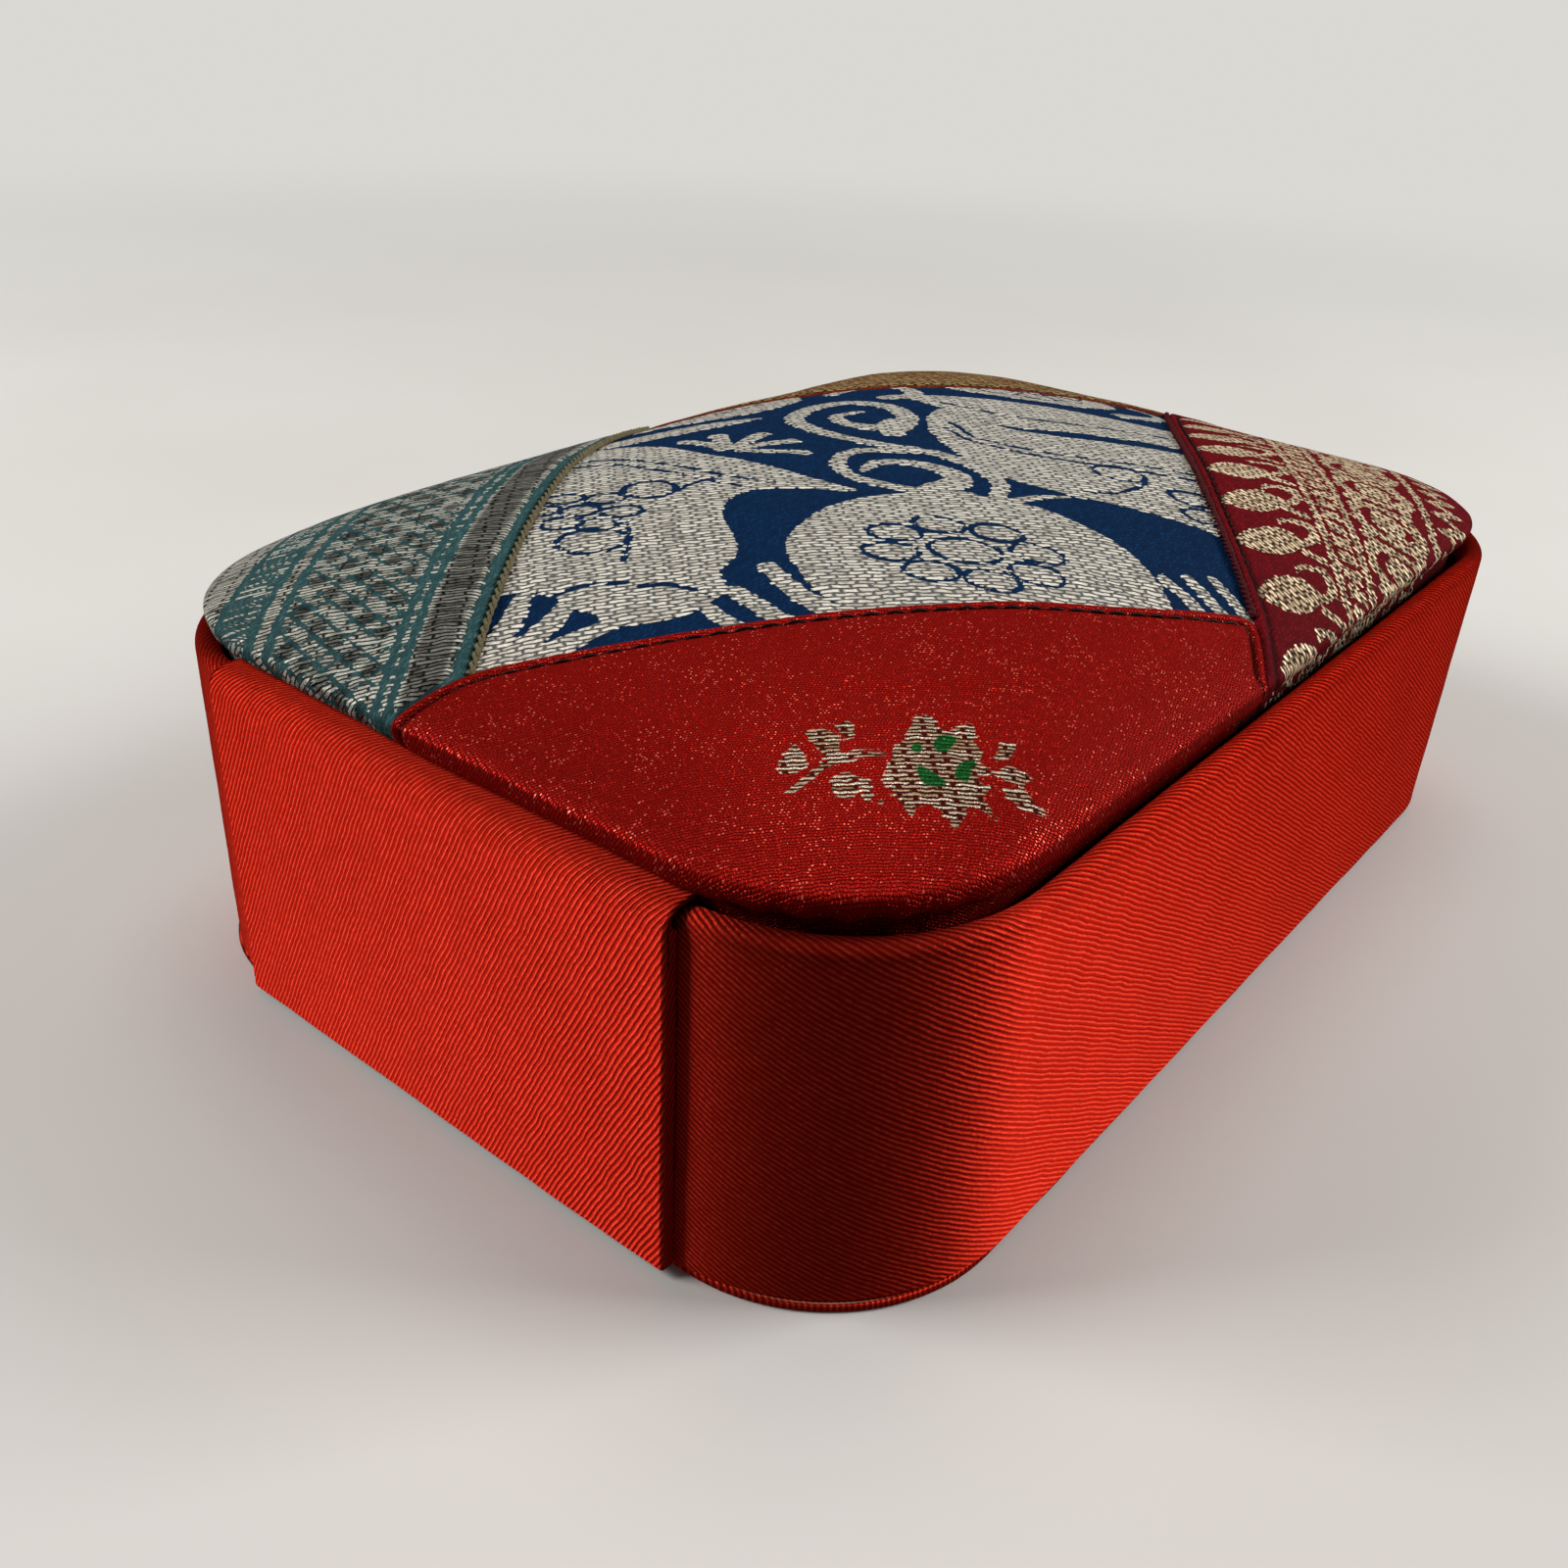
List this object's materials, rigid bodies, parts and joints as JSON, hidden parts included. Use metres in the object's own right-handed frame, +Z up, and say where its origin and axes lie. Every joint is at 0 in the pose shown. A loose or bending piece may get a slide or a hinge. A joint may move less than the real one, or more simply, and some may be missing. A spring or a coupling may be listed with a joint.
{
  "type": "brocade box",
  "caption": "Rectangular cloth-covered keepsake case with round corners, ribbed satin walls, a flat spine panel and a padded patchwork brocade lid on a cloth hinge.",
  "frame": {"origin": "the middle of the closed case's bounding box, on the surface that it stands on", "axes": "+Z up through the lid's crown, +Y along the case towards the spine panel and the cloth hinge, +X across the case"},
  "size_m": [0.137, 0.203, 0.0702],
  "materials": {
    "greyboard": "matte",
    "card": "matte",
    "wadding": "matte",
    "red_satin": "satin",
    "lining_satin": "satin",
    "navy_brocade": "satin",
    "red_shot_satin": "satin",
    "maroon_brocade": "satin",
    "rust_brocade": "satin",
    "teal_brocade": "satin"
  },
  "bodies": {
    "case": {"base_card": "card", "base_cover": "red_satin", "floor_board": "greyboard", "wall_board": "greyboard", "wall_cover": "red_satin", "lining_board": "greyboard", "lining_cloth": "lining_satin", "floor_card": "card", "floor_padding": "wadding", "floor_cloth": "lining_satin", "spine_board": "greyboard", "spine_cover": "red_satin", "hinge_cloth": "red_satin", "hinge_lining": "lining_satin"},
    "lid": {"lid_board": "greyboard", "lid_padding": "wadding", "patch_navy": "navy_brocade", "patch_red": "red_shot_satin", "patch_maroon": "maroon_brocade", "patch_rust": "rust_brocade", "patch_teal": "teal_brocade", "lid_lining_card": "card", "lid_lining_cloth": "lining_satin"}
  },
  "joints": [
    {"name": "lid_hinge", "type": "hinge", "parent": "case", "child": "lid", "pos_m": [0, 0.10105, 0.0516], "axis": [-1, 0, 0], "range_deg": [0, 192], "deforming": ["hinge_cloth", "hinge_lining"]}
  ]
}
